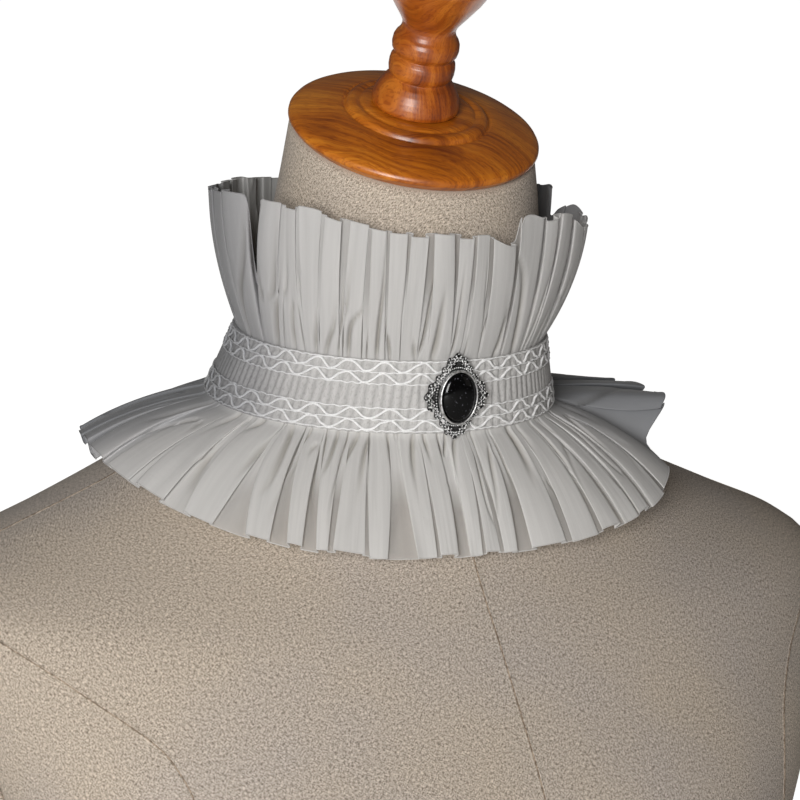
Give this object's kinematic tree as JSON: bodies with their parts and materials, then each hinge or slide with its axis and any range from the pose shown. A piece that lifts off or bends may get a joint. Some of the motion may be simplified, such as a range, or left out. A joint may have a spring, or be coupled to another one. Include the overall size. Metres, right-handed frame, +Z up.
{
  "type": "ruffled neck jabot on a dress form",
  "caption": "Gathered organza jabot collar with a smocked, embroidered band and an oval stone brooch, on a linen-covered dress form with a turned wood neck cap.",
  "frame": {"origin": "middle of the form's flat underside", "axes": "+Z up; the form and its collar face -Y, and the form's left side is +X"},
  "size_m": [0.379, 0.2703, 0.4643],
  "materials": {
    "organza": "semi-sheer pale grey-white organza, gathered and smocked",
    "linen": "plain-woven beige-grey linen over padding",
    "wood": "turned and varnished orange-brown wood",
    "silver": "antique silver with dark recesses and small bright beads",
    "stone": "polished opaque black stone, domed"
  },
  "bodies": {
    "root": {"dress_form": "linen", "arm_plate_left": "linen", "arm_plate_right": "linen", "neck_cap": "wood", "finial": "wood", "neck_band": "organza", "upper_ruffle": "organza", "lower_ruffle": "organza", "brooch_setting": "silver", "brooch_bezel": "silver", "brooch_stone": "stone"}
  },
  "joints": []
}
